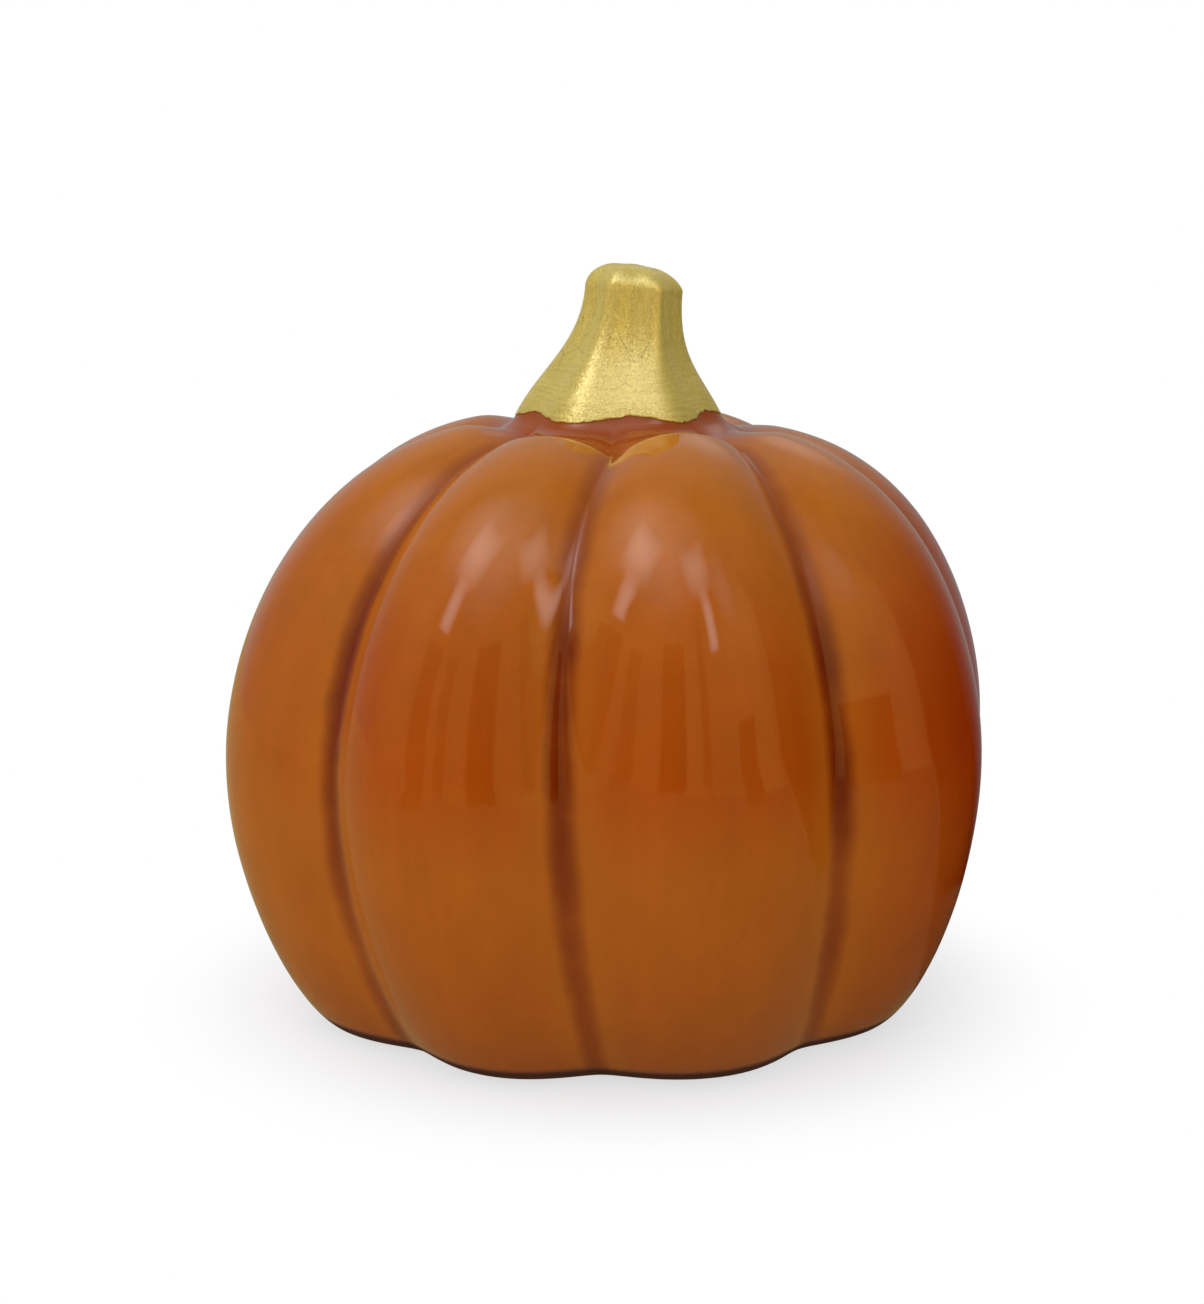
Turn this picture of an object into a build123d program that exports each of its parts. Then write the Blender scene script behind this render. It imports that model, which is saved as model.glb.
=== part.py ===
"""Ceramic pumpkin figure: a hollow slip-cast pumpkin with its stem, its fired glaze, gold lacquer and felt feet.

Millimetres, +Z up. The origin lies on the standing plane, under the middle of the whole figure.
Angles run from the front (-Y) towards +X. A level counts along the figure's side: 0 is the flat base,
1 the waist, 2 the shoulder, 3 the root of the stem, 4 its neck and 5 its tip.
"""

import os
from math import cos, pi, radians, sin, sqrt

from build123d import *

os.makedirs("parts", exist_ok=True)

# Body, measured over the glaze
body_radius = 75.0  # over the rib crests at the waist
waist_height = 50.7
foot_radius = 57.6  # flat base, over the rib crests
foot_flare = 32.0  # degrees, how steeply the side leaves the base
foot_handle, waist_low_handle, waist_high_handle, shoulder_handle = 7.6, 22.9, 24.2, 30.1
shoulder_height = 111.0  # rib crests where they turn in to the collar
shoulder_radius = 31.8
shoulder_slope = 11.5  # degrees, the crests still rise inwards here
crown_lean = 3.2  # the crown sits this far towards +X
axis_x, axis_y = -1.3, 0.6  # the upright axis of the ribbed body

# Ribs
first_groove = -90.0  # degrees
rib_widths = (45, 38, 42, 47, 47, 47, 47, 47)  # degrees, from the first groove on
rib_swells = (0.3, 0.2, 1.0, -0.7, -1.6, 0.0, 0.0, 0.0)  # how far each rib's upper half stands proud
groove_depths = (2.6, 7.2, 7.3, 3.3)  # control depths from the foot to the shoulder
groove_rounding = 0.25  # 0 would make the groove's floor a sharp line
groove_drift, groove_bow = -4.4, 1.6  # degrees that the grooves turn from the waist to the shoulder
groove_curls = (0, -4, 5, 11, 6, 2, 0, 0)  # degrees that each groove turns besides, just under the shoulder
crown_fullness = 0.35  # 0 would leave the ribs as gently arched at the shoulder as at the waist

# Stem
stem_height = 29.3  # above the shoulder
stem_root_radius, stem_root_rise = 19.0, 2.3  # the root's height is above the shoulder
stem_neck_radius, stem_neck_drop = 8.9, 4.1  # the neck's height is below the tip
stem_tip_radius = 3.3
stem_flare = 62.0  # degrees, how steeply the stem leaves its root
collar_handle, dip_handle, root_handle = 4.5, 5.5, 8.6
neck_low_handle, neck_high_handle, tip_handle = 11.3, 1.9, 2.5
stem_ridges, first_ridge = 6, 33.5
stem_dishes = (0.0, 2.5, 1.7, 0.3)  # control depths of the faces between ridges, shoulder to tip
stem_root_lean, stem_lean = 2.1, 5.2  # the root and the tip sit this far towards +X
stem_slant = 7.5  # degrees, the tip falls towards +X

# Walls and coats
wall = 5.0
floor_thickness = 5.5
inner_softening = 0.8  # the grooves inside are this share of those outside
glaze_thickness = 0.4
gold_thickness = 0.2
glaze_line = 0.3  # the casting is bare up to this height above the base
gold_edge_rise = 2.2  # the gold starts this far above the shoulder

# Underside
pour_hole_radius, pour_hole_rounding = 10.0, 0.8
recess_radius, recess_depth, recess_rounding = 38.0, 1.2, 0.5
pad_radius, pad_thickness = 5.0, 0.8
pad_clearance = 3.0  # from the recess to each felt pad
pad_ribs = {"front": 1, "right": 3, "back": 5, "left": 7}  # the rib over each felt pad

base_height = pad_thickness
cavity_floor = base_height + floor_thickness
pad_circle_radius = recess_radius + pad_clearance + pad_radius
top_height = shoulder_height + stem_height
groove_angles = [first_groove + sum(rib_widths[:i]) for i in range(len(rib_widths))]
rib_stations = (0.0, 0.06, 0.15, 0.3, 0.5, 0.7, 0.85, 0.94)  # closer together beside the grooves
body_levels = [i / 8 for i in range(8)] + [2 - (1 - i / 10) ** 2 for i in range(10)]
top_levels = [2 + i / 5 for i in range(5)] + [3 + i / 6 for i in range(6)] + [4 + i / 4 for i in range(5)]


def polar(length, angle):
    return Vector(length * cos(radians(angle)), length * sin(radians(angle)))


def crest_arcs():
    """Control points (radius, height) of the rib crest line, one cubic for each unit of level."""
    foot = Vector(foot_radius, base_height)
    waist = Vector(body_radius, waist_height)
    shoulder = Vector(shoulder_radius, shoulder_height)
    root = Vector(stem_root_radius, shoulder_height + stem_root_rise)
    neck = Vector(stem_neck_radius, top_height - stem_neck_drop)
    tip = Vector(stem_tip_radius, top_height)
    up, outwards = Vector(0, 1), Vector(1, 0)
    inwards = polar(1, 180 - shoulder_slope)
    flare = polar(1, 180 - stem_flare)
    return (
        (foot, foot + polar(foot_handle, foot_flare), waist - up * waist_low_handle, waist),
        (waist, waist + up * waist_high_handle, shoulder - inwards * shoulder_handle, shoulder),
        (shoulder, shoulder + inwards * collar_handle, root - flare * dip_handle, root),
        (root, root + flare * root_handle, neck - up * neck_low_handle, neck),
        (neck, neck + up * neck_high_handle, tip + outwards * tip_handle, tip),
    )


def cubic(controls, t):
    """Place and direction on a cubic, by halving its control polygon in the ratio t."""
    points = list(controls)
    while len(points) > 2:
        points = [a + (b - a) * t for a, b in zip(points, points[1:])]
    start, end = points
    return start + (end - start) * t, end - start


def depth_at(depths, t):
    return cubic([Vector(depth, 0) for depth in depths], t)[0].X


def ease(x):
    x = min(max(x, 0.0), 1.0)
    return x * x * (3 - 2 * x)


def rib_rise(share):
    """1 on a rib's crest and 0 in the groove at either side, for a share of 0 to 1 across the rib."""
    rise = sqrt(sin(pi * share) ** 2 + groove_rounding**2) - groove_rounding
    return rise / (sqrt(1 + groove_rounding**2) - groove_rounding)


def ring(level, inset=0.0, relief=1.0):
    """Points round the form at a level. It is inset by a wall or a coat, and relief scales its ribs."""
    arc = min(int(level), 4)
    crest, along = cubic(crest_arcs()[arc], level - arc)
    out = Vector(along.Y, -along.X).normalized()
    push = Vector(1 / out.X, 0) if out.Y < 0 else out  # under the waist the rings stay level
    body_share = 1 - ease(level - 2)
    groove = depth_at(groove_depths, min(level / 2, 1)) * body_share
    swell = relief * body_share * ease((level - 0.9) / 0.6)
    dish = depth_at(stem_dishes, max(level - 2, 0) / 3)
    height = min(level, 2) - 1
    turn = groove_drift * height + groove_bow * height**2
    curl = max(height, 0) ** 6
    starts = [start + curl * groove_curl for start, groove_curl in zip(groove_angles, groove_curls)]
    widths = [(end - start) % 360 for start, end in zip(starts, starts[1:] + starts[:1])]
    fullness = 1 - crown_fullness * ease(level - 1)
    lean = crown_lean * ease((level - 0.7) / 1.3) + (stem_root_lean - crown_lean) * ease(level - 2)
    tip_share = ease((level - 3) / 1.2)
    lean += (stem_lean - stem_root_lean) * tip_share
    slant = sin(radians(stem_slant)) * tip_share
    points = []
    for start, width, rib_swell in zip(starts, widths, rib_swells):
        for share in rib_stations:
            rise = rib_rise(share) ** fullness
            angle = start + share * width
            hollow = inset + groove * (1 - relief * rise) - rib_swell * swell * rise
            face = dish * (1 - cos(radians(stem_ridges * (angle - first_ridge)))) / 2
            spot = crest - push * hollow - Vector(face, 0)
            x, y = spot.X * sin(radians(angle + turn)), -spot.X * cos(radians(angle + turn))
            points.append(Vector(axis_x + lean + x, axis_y + y, spot.Y - slant * x))
    return points


def ring_wire(points):
    evenly = [i / len(points) for i in range(len(points) + 1)]
    return Wire([Edge.make_spline(points, periodic=True, parameters=evenly)])


def form(levels, inset=0.0, relief=1.0):
    """Solid through the rings at these levels, with a flat end at the first and at the last."""
    return Solid.make_loft([ring_wire(ring(level, inset, relief)) for level in levels])


def cavity_form():
    """Hollow of the casting. Its ribs fade out at the shoulder, where it has a flat ceiling."""
    levels = body_levels + [2.0]
    reliefs = [inner_softening * (1 - ease((level - 1.2) / 0.8)) for level in levels]
    inset = glaze_thickness + wall
    return Solid.make_loft([ring_wire(ring(*row)) for row in zip(levels, [inset] * len(levels), reliefs)])


glazed_form = form(body_levels + top_levels)
cast_form = form(body_levels + top_levels, inset=glaze_thickness)

with BuildPart() as cavity:
    add(cavity_form())
    split(bisect_by=Plane.XY.offset(cavity_floor), keep=Keep.TOP)

with BuildPart() as body_casting:
    add(cast_form)
    add(cavity.part, mode=Mode.SUBTRACT)
    with BuildSketch(Plane.XY.offset(base_height)):
        with Locations((axis_x, axis_y)):
            Circle(recess_radius)
    extrude(amount=recess_depth, mode=Mode.SUBTRACT)
    with BuildSketch(Plane.XY.offset(base_height)):
        with Locations((axis_x, axis_y)):
            Circle(pour_hole_radius)
    extrude(amount=2 * floor_thickness, mode=Mode.SUBTRACT)
    rims = body_casting.edges().filter_by(GeomType.CIRCLE)
    fillet(rims.group_by(Axis.Z)[0], recess_rounding)
    fillet(rims.group_by(Axis.Z)[1].sort_by(SortBy.RADIUS)[0], pour_hole_rounding)

with BuildPart() as orange_glaze:
    add(glazed_form)
    add(cast_form, mode=Mode.SUBTRACT)
    split(bisect_by=Plane.XY.offset(base_height + glaze_line), keep=Keep.TOP)

with BuildPart() as gold_lacquer:
    add(form(body_levels + top_levels, inset=-gold_thickness))
    add(glazed_form, mode=Mode.SUBTRACT)
    split(bisect_by=Plane.XY.offset(shoulder_height + gold_edge_rise), keep=Keep.TOP)

pieces = {"body_casting": body_casting, "orange_glaze": orange_glaze, "gold_lacquer": gold_lacquer}

for side, rib in pad_ribs.items():
    rib_middle = groove_angles[rib] + rib_widths[rib] / 2 - groove_drift + groove_bow
    spot = polar(pad_circle_radius, rib_middle - 90)
    with BuildPart() as felt_pad:
        with BuildSketch():
            with Locations((axis_x + spot.X, axis_y + spot.Y)):
                Circle(pad_radius)
        extrude(amount=pad_thickness)
    pieces[f"felt_pad_{side}"] = felt_pad

for name, piece in pieces.items():
    piece.part.label = name
    export_step(piece.part, f"parts/{name}.step")
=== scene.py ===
from functools import partial
from math import acos, cos, degrees, pi, radians, sin

import bpy
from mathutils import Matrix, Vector


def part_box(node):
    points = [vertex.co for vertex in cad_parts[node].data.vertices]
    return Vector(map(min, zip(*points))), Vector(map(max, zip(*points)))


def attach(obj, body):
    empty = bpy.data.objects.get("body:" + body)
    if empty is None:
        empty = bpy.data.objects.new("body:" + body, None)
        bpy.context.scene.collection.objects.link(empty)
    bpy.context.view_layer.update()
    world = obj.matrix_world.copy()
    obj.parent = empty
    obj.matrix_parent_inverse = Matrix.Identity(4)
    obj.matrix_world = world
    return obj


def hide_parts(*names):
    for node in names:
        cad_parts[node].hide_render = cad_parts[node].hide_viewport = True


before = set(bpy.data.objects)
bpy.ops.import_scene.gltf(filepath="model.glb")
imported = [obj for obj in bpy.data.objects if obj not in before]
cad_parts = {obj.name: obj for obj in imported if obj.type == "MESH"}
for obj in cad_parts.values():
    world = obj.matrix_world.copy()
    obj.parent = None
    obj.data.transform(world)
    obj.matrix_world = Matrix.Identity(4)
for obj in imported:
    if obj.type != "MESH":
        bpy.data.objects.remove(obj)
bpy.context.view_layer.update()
mm = 0.001

scene = bpy.context.scene
scene.view_settings.view_transform = "Standard"

# kinds of node and a setting that are used all over
number, ramp, noise = "ShaderNodeMath", "ShaderNodeMapRange", "ShaderNodeTexNoise"
smooth = {"interpolation_type": "SMOOTHSTEP"}


def fill(node, *values):
    # values come in socket order or as one dictionary by socket name: nodes and sockets are linked, None is
    # left alone and the rest is set
    named = values and isinstance(values[0], dict)
    for key, value in values[0].items() if named else enumerate(values):
        if named:
            target = next(socket for socket in node.inputs if socket.enabled and socket.name == key)
        else:
            target = node.inputs[key]
        if isinstance(value, bpy.types.Node):
            value = next(socket for socket in value.outputs if socket.enabled)
        if isinstance(value, bpy.types.NodeSocket):
            node.id_data.links.new(value, target)
        elif value is not None:
            target.default_value = value
    return node


def addNode(tree, kind, *values, stops=None, **settings):
    # stops are a colour ramp's places and sRGB colours
    node = tree.nodes.new(kind)
    for name, value in settings.items():
        setattr(node, name, value)
    if stops:
        elements = node.color_ramp.elements
        while len(elements) < len(stops):
            elements.new(0.5)
        for element, (place, tint) in zip(elements, stops.items()):
            element.position, element.color = place, linearColour(tint)
    return fill(node, *values)


def linearColour(hexColour):
    # sRGB hex to the linear values that shaders take
    parts = [int(hexColour[i:i + 2], 16) / 255 for i in (1, 3, 5)]
    return [p / 12.92 if p <= 0.04045 else ((p + 0.055) / 1.055) ** 2.4 for p in parts] + [1.0]


def newTree(name, inputs, outputs):
    # a node tree with named inputs {name: (kind, default)} and named outputs {name: kind}
    tree = bpy.data.node_groups.new(name, "GeometryNodeTree")
    for socketName, (kind, default) in inputs.items():
        socket = tree.interface.new_socket(socketName, in_out="INPUT", socket_type="NodeSocket" + kind)
        if default is not None:
            socket.default_value = default
    for socketName, kind in outputs.items():
        tree.interface.new_socket(socketName, in_out="OUTPUT", socket_type="NodeSocket" + kind)
    return tree, addNode(tree, "NodeGroupInput").outputs


def meshFromTree(name, tree, values):
    # runs a tree as a modifier and keeps the result as a plain mesh
    piece = bpy.data.objects.new(name, bpy.data.meshes.new(name))
    scene.collection.objects.link(piece)
    modifier = piece.modifiers.new(tree.name, "NODES")
    modifier.node_group = tree
    for socket in tree.interface.items_tree:
        if socket.in_out == "INPUT" and socket.name in values:
            modifier[socket.identifier] = values[socket.name]
    view = bpy.context.evaluated_depsgraph_get()
    evaluated = piece.evaluated_get(view)
    mesh = bpy.data.meshes.new_from_object(evaluated, preserve_all_data_layers=True, depsgraph=view)
    piece.modifiers.remove(modifier)
    piece.data = mesh
    mesh.name = name
    return piece


# the ribbed form: sizes in mm, angles in degrees from the front towards the viewer's right
form = {
    "axis": (-1.3, 0.6),
    "bodyRadius": 75.0, "waistHeight": 50.7,
    "footRadius": 57.6, "footFlare": 32.0,
    "footHandle": 7.6, "waistHandles": (22.9, 24.2), "shoulderHandles": (30.1, 4.5),
    "shoulderRadius": 31.8, "shoulderHeight": 111.0, "shoulderSlope": 11.5,
    "stemRootRadius": 19.0, "stemRootHeight": 113.3, "stemFlare": 62.0, "rootHandles": (5.5, 8.6),
    "stemNeckRadius": 8.9, "stemNeckHeight": 136.2, "neckHandles": (11.3, 1.9),
    "stemTipRadius": 3.3, "stemTipHeight": 140.3, "tipHandles": (2.5, 1.0), "stemCrown": 0.3,
    "firstGroove": -90.0, "ribWidths": (45, 38, 42, 47, 47, 47, 47, 47),
    "ribSwells": (0.3, 0.2, 1.0, -0.7, -1.6, 0.0, 0.0, 0.0),
    "grooveDepths": (2.6, 7.2, 7.3, 3.3), "grooveRounding": 0.25,
    "grooveDrift": -4.4, "grooveBow": 1.6, "grooveCurls": (0, -4, 5, 11, 6, 2, 0, 0),
    "crownFullness": 0.35,
    "crownLean": 3.2, "stemRootLean": 2.1, "stemLean": 5.2, "stemSlant": 7.5,
    "stemRidges": 6, "firstRidge": 33.5, "stemDishes": (0.0, 2.5, 1.7, 0.3),
    "curlPower": 6,  # how late below the shoulder the grooves curl
    "swellReach": (0.9, 1.5),  # levels between which the ribs swell
    "leanReach": (0.7, 4.2),  # levels where the lean begins and is full
    "ridgeSharpness": 0.92,  # 1 is a plain wave across the stem's faces
    "crowding": 0.55,  # how much closer together the mesh's steps are beside a groove
}


def polar(length, angle):
    return Vector((length * cos(radians(angle)), 0, length * sin(radians(angle))))


def crestKnots():
    # (left handle, knot, right handle) of the line along a rib's crest, from the foot to the top of the stem
    f = form
    foot = Vector((f["footRadius"], 0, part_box("felt_pad_front")[1].z / mm))
    waist = Vector((f["bodyRadius"], 0, f["waistHeight"]))
    shoulder = Vector((f["shoulderRadius"], 0, f["shoulderHeight"]))
    root = Vector((f["stemRootRadius"], 0, f["stemRootHeight"]))
    neck = Vector((f["stemNeckRadius"], 0, f["stemNeckHeight"]))
    tip = Vector((f["stemTipRadius"], 0, f["stemTipHeight"]))
    top = Vector((0, 0, f["stemTipHeight"] + f["stemCrown"]))
    rows = (
        (foot, polar(1, f["footFlare"]), 0, f["footHandle"]),
        (waist, polar(1, 90), *f["waistHandles"]),
        (shoulder, polar(1, 180 - f["shoulderSlope"]), *f["shoulderHandles"]),
        (root, polar(1, 180 - f["stemFlare"]), *f["rootHandles"]),
        (neck, polar(1, 90), *f["neckHandles"]),
        (tip, polar(1, 180), *f["tipHandles"]),
        (top, polar(1, 180), f["tipHandles"][1], 0),
    )
    return [(knot - way * before, knot, knot + way * after) for knot, way, before, after in rows]


def crestShare(level):
    # share of the crest line's length up to a level: 1 is the waist, 2 the shoulder, 3 the stem's root
    knots, steps, lengths = crestKnots(), 200, [0.0]
    last = knots[0][1]
    for i in range(1, steps * (len(knots) - 1) + 1):
        arc, t = min((i - 1) // steps, len(knots) - 2), ((i - 1) % steps + 1) / steps
        a, b, c, d = knots[arc][1], knots[arc][2], knots[arc + 1][0], knots[arc + 1][1]
        spot = a * (1 - t) ** 3 + b * 3 * t * (1 - t) ** 2 + c * 3 * t ** 2 * (1 - t) + d * t ** 3
        lengths.append(lengths[-1] + (spot - last).length)
        last = spot
    return lengths[round(level * steps)] / lengths[-1]


def crestLine():
    # the crest line as a Bezier curve object that the tree samples
    line = bpy.data.curves.new("crestLine", "CURVE")
    line.dimensions = "3D"
    line.resolution_u = 64
    spline = line.splines.new("BEZIER")
    knots = crestKnots()
    spline.bezier_points.add(len(knots) - 1)
    for point, (left, knot, right) in zip(spline.bezier_points, knots):
        point.handle_left_type = point.handle_right_type = "FREE"
        point.handle_left, point.co, point.handle_right = left * mm, knot * mm, right * mm
    return bpy.data.objects.new("crestLine", line)


def coatTree():
    # a closed coat over the ribbed form: an inner and an outer skin from a lower edge to the top
    tree, given = newTree("ribbed coat", {
        "Crest Line": ("Object", None), "Material": ("Material", None),
        "Steps Round": ("Int", 320), "Inner Rows": ("Int", 40), "Outer Rows": ("Int", 220),
        "Outer Inset": ("Float", 0.0), "Inner Inset": ("Float", 0.0004),
        "Lower Edge": ("Float", 0.0), "Edge Scallop": ("Float", 0.0), "Edge Wander": ("Float", 0.0),
        "Relief Height": ("Float", 0.0), "Relief Scale": ("Float", 60.0),
        "Groove Rounding": ("Float", 0.25), "Groove Drift": ("Float", 0.0), "Groove Bow": ("Float", 0.0),
        "Crown Fullness": ("Float", 0.0),
        "Crown Lean": ("Float", 0.0), "Stem Root Lean": ("Float", 0.0), "Stem Lean": ("Float", 0.0),
        "Stem Slant": ("Float", 0.0), "Stem Ridges": ("Float", 5.0), "First Ridge": ("Float", 0.0),
    }, {"Geometry": "Geometry"})
    add = partial(addNode, tree)
    ribCount = len(form["ribWidths"])

    def perRib(values):
        node = add("GeometryNodeIndexSwitch", data_type="FLOAT")
        while len(node.index_switch_items) < ribCount:
            node.index_switch_items.new()
        return fill(node, rib, *values)

    def cubicOf(controls, share):
        a, b, c, d = controls
        node = add(number, share, d - 3 * c + 3 * b - a, 3 * (a - 2 * b + c), operation="MULTIPLY_ADD")
        node = add(number, share, node, 3 * (b - a), operation="MULTIPLY_ADD")
        return add(number, share, node, a, operation="MULTIPLY_ADD")

    # a grid: its X runs round the form, one unit for each rib, and its Y down the inner skin and up the outer
    innerRows = given["Inner Rows"]
    rows = add(number, innerRows, given["Outer Rows"])
    lastRow = add(number, rows, 1, operation="SUBTRACT")
    grid = add("GeometryNodeMeshGrid", ribCount, lastRow, add(number, given["Steps Round"], 1), rows)
    place = add("ShaderNodeSeparateXYZ", add("GeometryNodeInputPosition"))
    row = add(number, lastRow, 0.5, place.outputs["Y"], operation="MULTIPLY_ADD")
    innerShare = add(ramp, row, 0, add(number, innerRows, 1, operation="SUBTRACT"), 1, 0)
    outerShare = add(ramp, row, innerRows, lastRow, 0, 1)
    isOuter = add(number, row, add(number, innerRows, 0.5, operation="SUBTRACT"), operation="GREATER_THAN")

    # which rib, how far across it, and the angle there
    across = add(number, place.outputs["X"], ribCount / 2)
    rib = add(number, add(number, across, operation="FLOOR"), ribCount - 1, operation="MINIMUM")
    across = add(number, across, rib, operation="SUBTRACT")
    wave = add(number, add(number, across, 2 * pi, operation="MULTIPLY"), operation="SINE")
    across = add(number, wave, -form["crowding"] / (2 * pi), across, operation="MULTIPLY_ADD")
    widths = [radians(width) for width in form["ribWidths"]]
    starts = [radians(form["firstGroove"]) + sum(widths[:i]) for i in range(ribCount)]
    plainAngle = add(number, across, perRib(widths), perRib(starts), operation="MULTIPLY_ADD")

    # the rise is 1 on a rib's crest and 0 in the groove
    rounding = given["Groove Rounding"]
    squared = add(number, rounding, rounding, operation="MULTIPLY")
    arch = add(number, add(number, across, pi, operation="MULTIPLY"), operation="SINE")
    rise = add(number, add(number, arch, arch, squared, operation="MULTIPLY_ADD"), operation="SQRT")
    crestRise = add(number, add(number, 1, squared), operation="SQRT")
    archRise = add(ramp, rise, rounding, crestRise, 0, 1)

    def foldAt(angle):
        # 0 on a ridge of the stem and 1 between two
        turn = add(number, angle, given["First Ridge"], operation="SUBTRACT")
        turn = add(number, turn, given["Stem Ridges"], operation="MULTIPLY")
        return add(ramp, add(number, turn, operation="COSINE"), 1, -1, 0, 1)

    # the place on the crest line, and its level there
    around = {"W": plainAngle, "Scale": 7.0, "Detail": 4.0, "Roughness": 0.65}
    wander = add(number, add(noise, around, noise_dimensions="1D"), 0.5, operation="SUBTRACT")
    scallop = foldAt(plainAngle)
    edge = add(number, scallop, given["Edge Scallop"], given["Lower Edge"], operation="MULTIPLY_ADD")
    edge = add(number, wander, given["Edge Wander"], edge, operation="MULTIPLY_ADD")
    share = add(ramp, add(number, innerShare, outerShare), 0, 1, edge, 1)
    line = add("GeometryNodeObjectInfo", given["Crest Line"]).outputs["Geometry"]
    crest = add("GeometryNodeSampleCurve", line, add("GeometryNodeInputIndex"), share, mode="FACTOR")
    level = crest.outputs["Value"]
    spot = add("ShaderNodeSeparateXYZ", crest.outputs["Position"])
    way = add("ShaderNodeSeparateXYZ", crest.outputs["Tangent"])

    # just under the shoulder each groove turns aside by its own angle, and the ribs between are fuller
    rising = add(ramp, level, 0, 2, -1, 1)
    upper = add(number, add(number, rising, 0, operation="MAXIMUM"), form["curlPower"], operation="POWER")
    curls = [radians(curl) for curl in form["grooveCurls"]]
    spreads = [after - before for before, after in zip(curls, curls[1:] + curls[:1])]
    curl = add(number, across, perRib(spreads), perRib(curls), operation="MULTIPLY_ADD")
    angle = add(number, curl, upper, plainAngle, operation="MULTIPLY_ADD")
    fold = add(number, foldAt(angle), form["ridgeSharpness"], operation="POWER")

    # how deep the surface lies under the crest line
    fullness = add(ramp, level, 1, 2, 0, given["Crown Fullness"], **smooth)
    rise = add(number, archRise, add(number, 1, fullness, operation="SUBTRACT"), operation="POWER")
    bodyShare = add(ramp, level, 2, 3, 1, 0, **smooth)
    swellShare = add(ramp, level, *form["swellReach"], 0, 1, **smooth)
    groove = cubicOf([d * mm for d in form["grooveDepths"]], add(ramp, level, 0, 2, 0, 1))
    groove = add(number, groove, bodyShare, operation="MULTIPLY")
    swell = add(number, perRib([s * mm for s in form["ribSwells"]]), swellShare, operation="MULTIPLY")
    swell = add(number, swell, bodyShare, operation="MULTIPLY")
    inset = add(ramp, isOuter, 0, 1, given["Inner Inset"], given["Outer Inset"])
    hollow = add(number, groove, add(number, 1, rise, operation="SUBTRACT"), inset, operation="MULTIPLY_ADD")
    hollow = add(number, hollow, add(number, swell, rise, operation="MULTIPLY"), operation="SUBTRACT")
    dish = cubicOf([d * mm for d in form["stemDishes"]], add(ramp, level, 2, 5, 0, 1))
    dish = add(number, dish, add(ramp, level, 5, 6, 1, 0), operation="MULTIPLY")

    # under the waist the surface is pushed in level, above it square to the crest line
    outwards = add(number, way.outputs["X"], 0, operation="MAXIMUM")
    spare = add(number, outwards, outwards, operation="MULTIPLY")
    spare = add(number, spare, way.outputs["Z"], operation="DIVIDE")
    pushX = add(number, way.outputs["Z"], spare)
    pushZ = add(number, add(number, way.outputs["X"], -1, operation="MULTIPLY"), 0, operation="MAXIMUM")
    pushX = add(number, pushX, hollow, operation="MULTIPLY")
    pushZ = add(number, pushZ, hollow, operation="MULTIPLY")
    radius = add(number, spot.outputs["X"], pushX, operation="SUBTRACT")
    radius = add(number, radius, add(number, dish, fold, operation="MULTIPLY"), operation="SUBTRACT")
    height = add(number, spot.outputs["Z"], pushZ, operation="SUBTRACT")

    # turn, lean and slant
    turn = add(number, rising, given["Groove Bow"], given["Groove Drift"], operation="MULTIPLY_ADD")
    turned = add(number, rising, turn, angle, operation="MULTIPLY_ADD")
    leans = (given["Crown Lean"], given["Stem Root Lean"], given["Stem Lean"])
    begin, full = form["leanReach"]
    lean = add(ramp, level, begin, 2, 0, leans[0], **smooth)
    for start, end, before, after in ((2, 3, leans[0], leans[1]), (3, full, leans[1], leans[2])):
        more = add(number, after, before, operation="SUBTRACT")
        lean = add(number, lean, add(ramp, level, start, end, 0, more, **smooth))
    slant = add(ramp, level, 3, full, 0, given["Stem Slant"], **smooth)
    sideways = add(number, radius, add(number, turned, operation="SINE"), operation="MULTIPLY")
    backwards = add(number, radius, add(number, turned, operation="COSINE"), operation="MULTIPLY")
    axisX, axisY = (a * mm for a in form["axis"])
    point = add("ShaderNodeCombineXYZ",
                add(number, add(number, sideways, lean), axisX),
                add(number, axisY, backwards, operation="SUBTRACT"),
                add(number, height, add(number, slant, sideways, operation="MULTIPLY"), operation="SUBTRACT"))

    # the coat, with what its finish needs to know, closed at its seam and tops, and slightly uneven outside
    coat = grid
    for attribute, value in (("ribRise", archRise), ("level", level), ("outer", isOuter)):
        coat = add("GeometryNodeStoreNamedAttribute", coat, None, attribute, value)
    coat = add("GeometryNodeSetPosition", coat, None, point)
    coat = add("GeometryNodeMergeByDistance", coat, None, 0.001 * mm)
    bumps = add(number, add(noise, None, None, given["Relief Scale"], 1.0), 0.5, operation="SUBTRACT")
    bumps = add(number, bumps, given["Relief Height"], operation="MULTIPLY")
    bumps = add(number, bumps, add("GeometryNodeInputNamedAttribute", "outer"), operation="MULTIPLY")
    push = {"Vector": add("GeometryNodeInputNormal"), "Scale": bumps}
    push = add("ShaderNodeVectorMath", push, operation="SCALE")
    coat = add("GeometryNodeSetPosition", coat, None, None, push)
    coat = add("GeometryNodeSetShadeSmooth", coat)
    coat = add("GeometryNodeRealizeInstances", coat)
    coat = add("GeometryNodeSetMaterial", coat, None, given["Material"])
    add("NodeGroupOutput", coat)
    return tree


formInputs = {
    "Crest Line": crestLine(), "Groove Rounding": form["grooveRounding"],
    "Groove Drift": radians(form["grooveDrift"]), "Groove Bow": radians(form["grooveBow"]),
    "Crown Fullness": form["crownFullness"], "Crown Lean": form["crownLean"] * mm,
    "Stem Root Lean": form["stemRootLean"] * mm, "Stem Lean": form["stemLean"] * mm,
    "Stem Slant": sin(radians(form["stemSlant"])), "Stem Ridges": float(form["stemRidges"]),
    "First Ridge": radians(form["firstRidge"]),
}
ribbedCoat = coatTree()


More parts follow.
